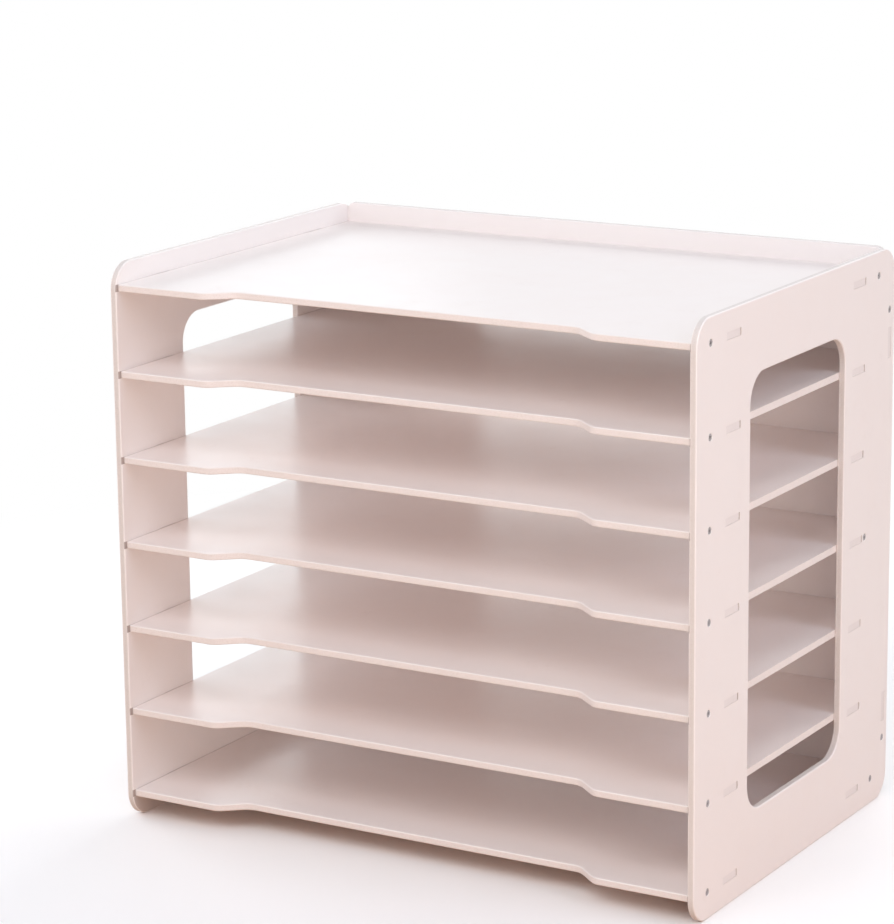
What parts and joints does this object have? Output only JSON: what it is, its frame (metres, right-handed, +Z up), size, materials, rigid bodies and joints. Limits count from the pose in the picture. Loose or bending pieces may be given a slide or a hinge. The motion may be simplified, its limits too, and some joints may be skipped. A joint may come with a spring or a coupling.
{
  "type": "multi-tier document tray",
  "caption": "Free-standing paper tray: windowed side panels and a windowed back carry a rimmed top board and open shelves with finger recesses, on through tenons and screws.",
  "frame": {"origin": "on the floor under the middle of the tray", "axes": "+Z up, +X to the right as seen from the open front, +Y towards the back panel"},
  "size_m": [0.46, 0.316, 0.41],
  "materials": {
    "panel_board": "satin foamed board",
    "shelf_board": "satin foamed board",
    "screw_steel": "dark zinc"
  },
  "bodies": {
    "root": {"left_side_panel": "panel_board", "right_side_panel": "panel_board", "back_panel": "panel_board", "top_board": "shelf_board", "shelf_1": "shelf_board", "shelf_2": "shelf_board", "shelf_3": "shelf_board", "shelf_4": "shelf_board", "shelf_5": "shelf_board", "shelf_6": "shelf_board", "top_board_left_screws": "screw_steel", "top_board_right_screws": "screw_steel", "shelf_1_left_screws": "screw_steel", "shelf_1_right_screws": "screw_steel", "shelf_2_left_screws": "screw_steel", "shelf_2_right_screws": "screw_steel", "shelf_3_left_screws": "screw_steel", "shelf_3_right_screws": "screw_steel", "shelf_4_left_screws": "screw_steel", "shelf_4_right_screws": "screw_steel", "shelf_5_left_screws": "screw_steel", "shelf_5_right_screws": "screw_steel", "shelf_6_left_screws": "screw_steel", "shelf_6_right_screws": "screw_steel", "back_panel_left_screws": "screw_steel", "back_panel_right_screws": "screw_steel"}
  },
  "joints": []
}
